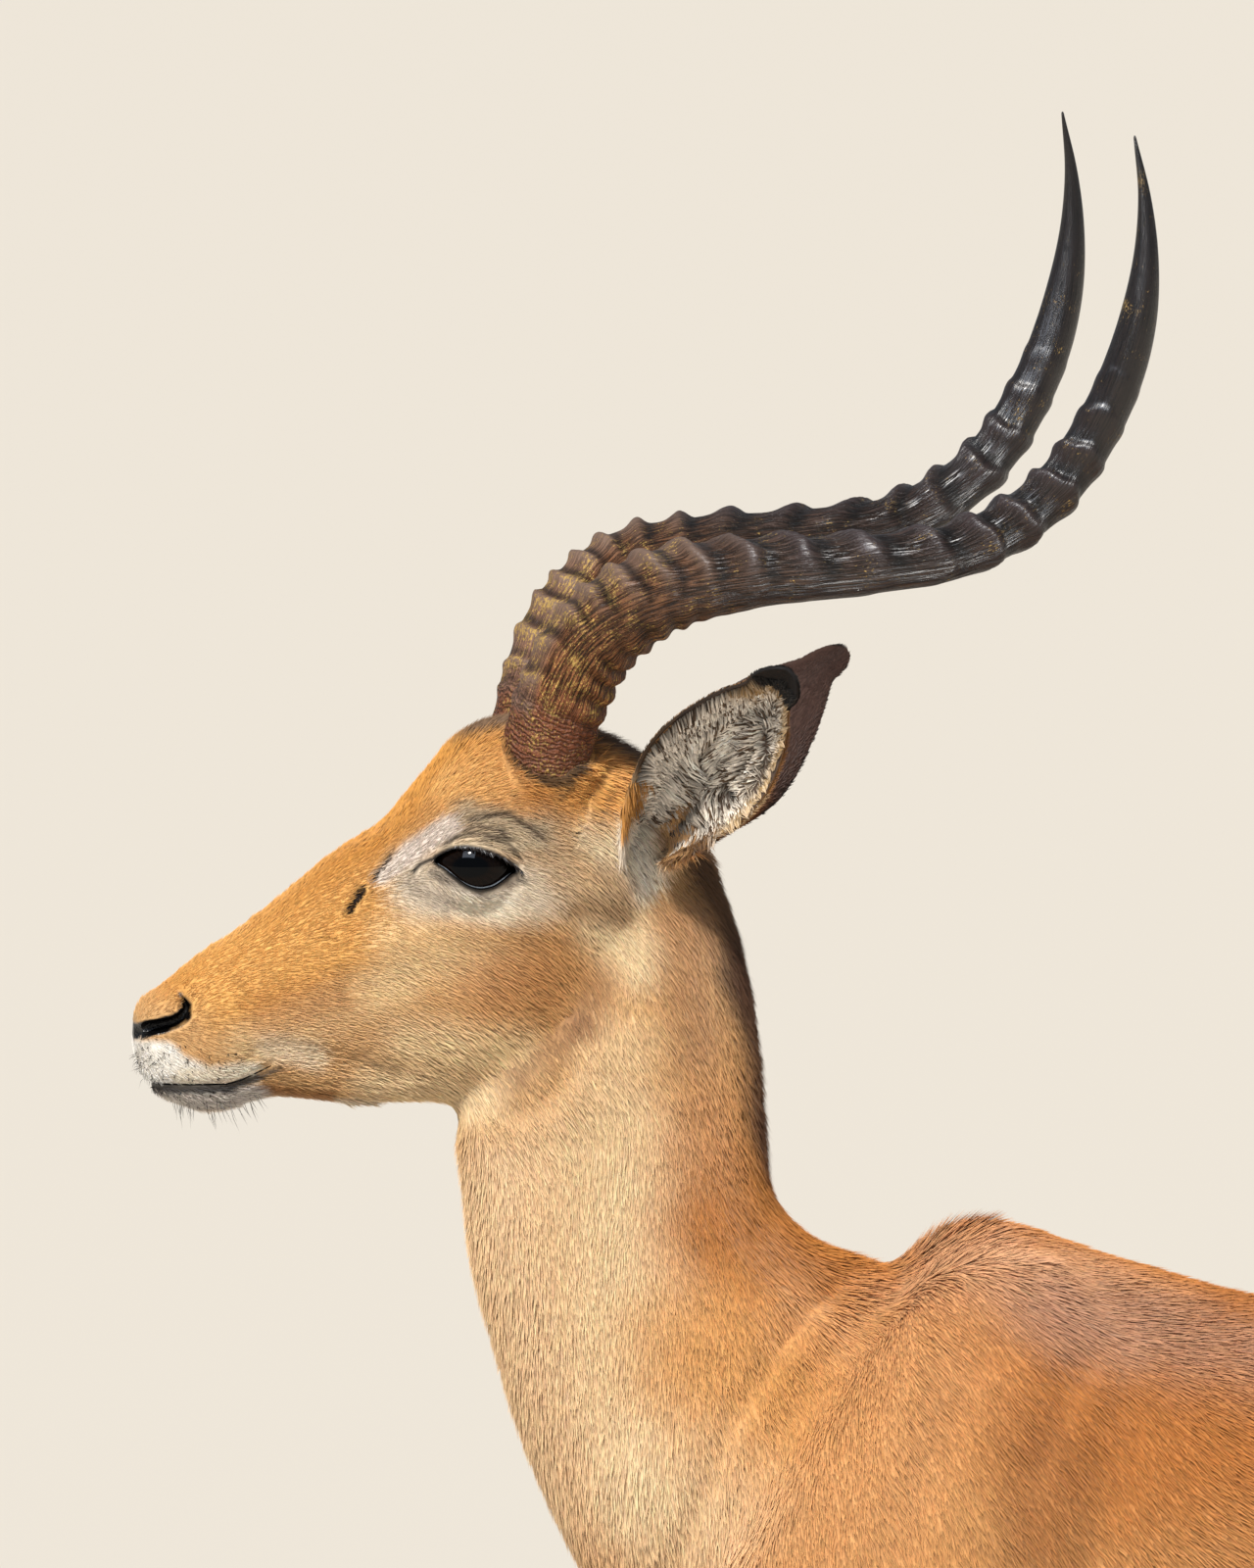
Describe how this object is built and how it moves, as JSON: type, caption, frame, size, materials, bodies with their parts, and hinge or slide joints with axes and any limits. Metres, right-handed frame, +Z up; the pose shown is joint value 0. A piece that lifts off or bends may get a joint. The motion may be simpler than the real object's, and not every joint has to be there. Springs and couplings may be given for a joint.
{
  "type": "impala antelope",
  "caption": "Standing impala ram at life size with lyre-shaped ridged horns, head held level, one ear turned out and one laid back.",
  "frame": {"origin": "on the floor, under the middle of the animal's bounding box", "axes": "+Z up; the animal faces -X; its left side faces -Y, so +Y points to its right"},
  "size_m": [1.1226, 0.3166, 1.415],
  "materials": {
    "fawn_coat": "short sleek hair, matt",
    "rufous_coat": "short sleek hair, matt",
    "white_hair": "longer hair, matt",
    "horn": "ridged keratin, satin towards the tips",
    "hoof": "smooth keratin, satin",
    "eye": "wet and glossy"
  },
  "bodies": {
    "root": {"head": "fawn_coat", "neck": "fawn_coat", "trunk": "rufous_coat", "tail": "white_hair", "horn_left": "horn", "horn_right": "horn", "ear_left": "fawn_coat", "ear_right": "fawn_coat", "eye_left": "eye", "eye_right": "eye", "foreleg_left_upper": "fawn_coat", "foreleg_left_lower": "fawn_coat", "foreleg_left_hoof_inner": "hoof", "foreleg_left_hoof_outer": "hoof", "hindleg_left_upper": "fawn_coat", "hindleg_left_lower": "fawn_coat", "hindleg_left_hoof_inner": "hoof", "hindleg_left_hoof_outer": "hoof", "foreleg_right_upper": "fawn_coat", "foreleg_right_lower": "fawn_coat", "foreleg_right_hoof_inner": "hoof", "foreleg_right_hoof_outer": "hoof", "hindleg_right_upper": "fawn_coat", "hindleg_right_lower": "fawn_coat", "hindleg_right_hoof_inner": "hoof", "hindleg_right_hoof_outer": "hoof"}
  },
  "joints": []
}
